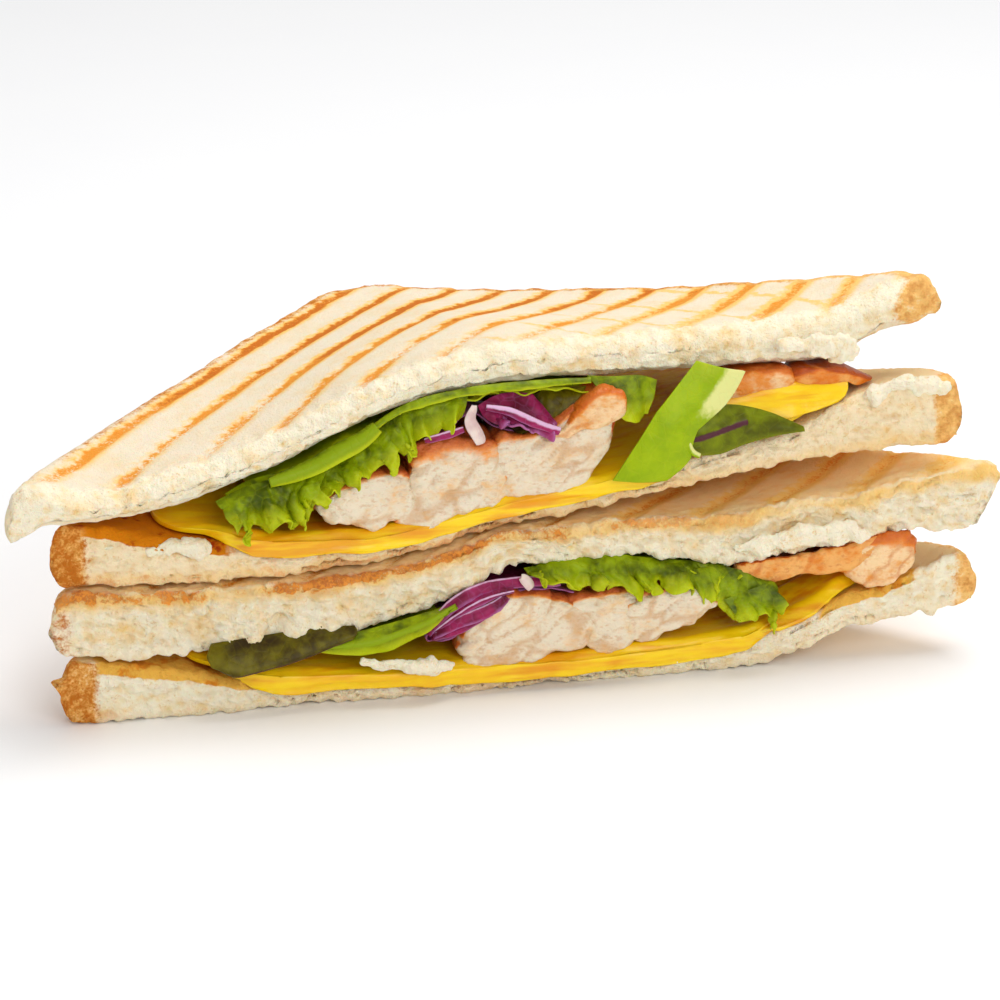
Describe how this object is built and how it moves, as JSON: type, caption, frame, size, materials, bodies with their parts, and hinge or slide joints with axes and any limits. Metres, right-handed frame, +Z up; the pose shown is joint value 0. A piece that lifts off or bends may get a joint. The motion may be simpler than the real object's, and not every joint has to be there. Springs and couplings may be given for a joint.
{
  "type": "chicken club sandwich",
  "caption": "Toasted square sandwich cut corner to corner, one half laid on the other, with chicken, melted cheese, lettuce and radicchio showing at the cut.",
  "frame": {"origin": "middle of the footprint, on the plane that the sandwich rests on", "axes": "+X along the diagonal cut, from the closed left end to the lifted right end; +Z up through the layers; the cut faces look towards -Y"},
  "size_m": [0.1696, 0.0888, 0.0643],
  "materials": {
    "toast_bread": "dry porous crumb, pale toasted faces with brown grill lines, golden crust",
    "yellow_cheese": "smooth melted cheese, slightly greasy",
    "cooked_chicken": "moist fibrous cooked breast with browned tops",
    "green_lettuce": "fresh crisp leaf with a soft sheen",
    "dark_lettuce": "darker leaf with a soft sheen",
    "radicchio": "purple leaf with pale ribs"
  },
  "bodies": {
    "root": {"base_bread": "toast_bread", "lid_bread": "toast_bread", "upper_base_bread": "toast_bread", "top_bread": "toast_bread", "cheese_lower": "yellow_cheese", "cheese_upper": "yellow_cheese", "chicken_upper_left": "cooked_chicken", "chicken_upper_middle": "cooked_chicken", "chicken_upper_right": "cooked_chicken", "chicken_upper_slice": "cooked_chicken", "chicken_upper_corner": "cooked_chicken", "chicken_lower_left": "cooked_chicken", "chicken_lower_middle": "cooked_chicken", "chicken_lower_right": "cooked_chicken", "chicken_lower_corner": "cooked_chicken", "lettuce_upper_leaf": "green_lettuce", "lettuce_upper_frill": "green_lettuce", "lettuce_upper_flap": "green_lettuce", "lettuce_upper_blade": "green_lettuce", "lettuce_upper_dark": "dark_lettuce", "lettuce_lower_leaf": "green_lettuce", "lettuce_lower_frill": "green_lettuce", "lettuce_lower_ribbon": "green_lettuce", "lettuce_lower_dark": "dark_lettuce", "radicchio_upper": "radicchio", "radicchio_lower": "radicchio"}
  },
  "joints": []
}
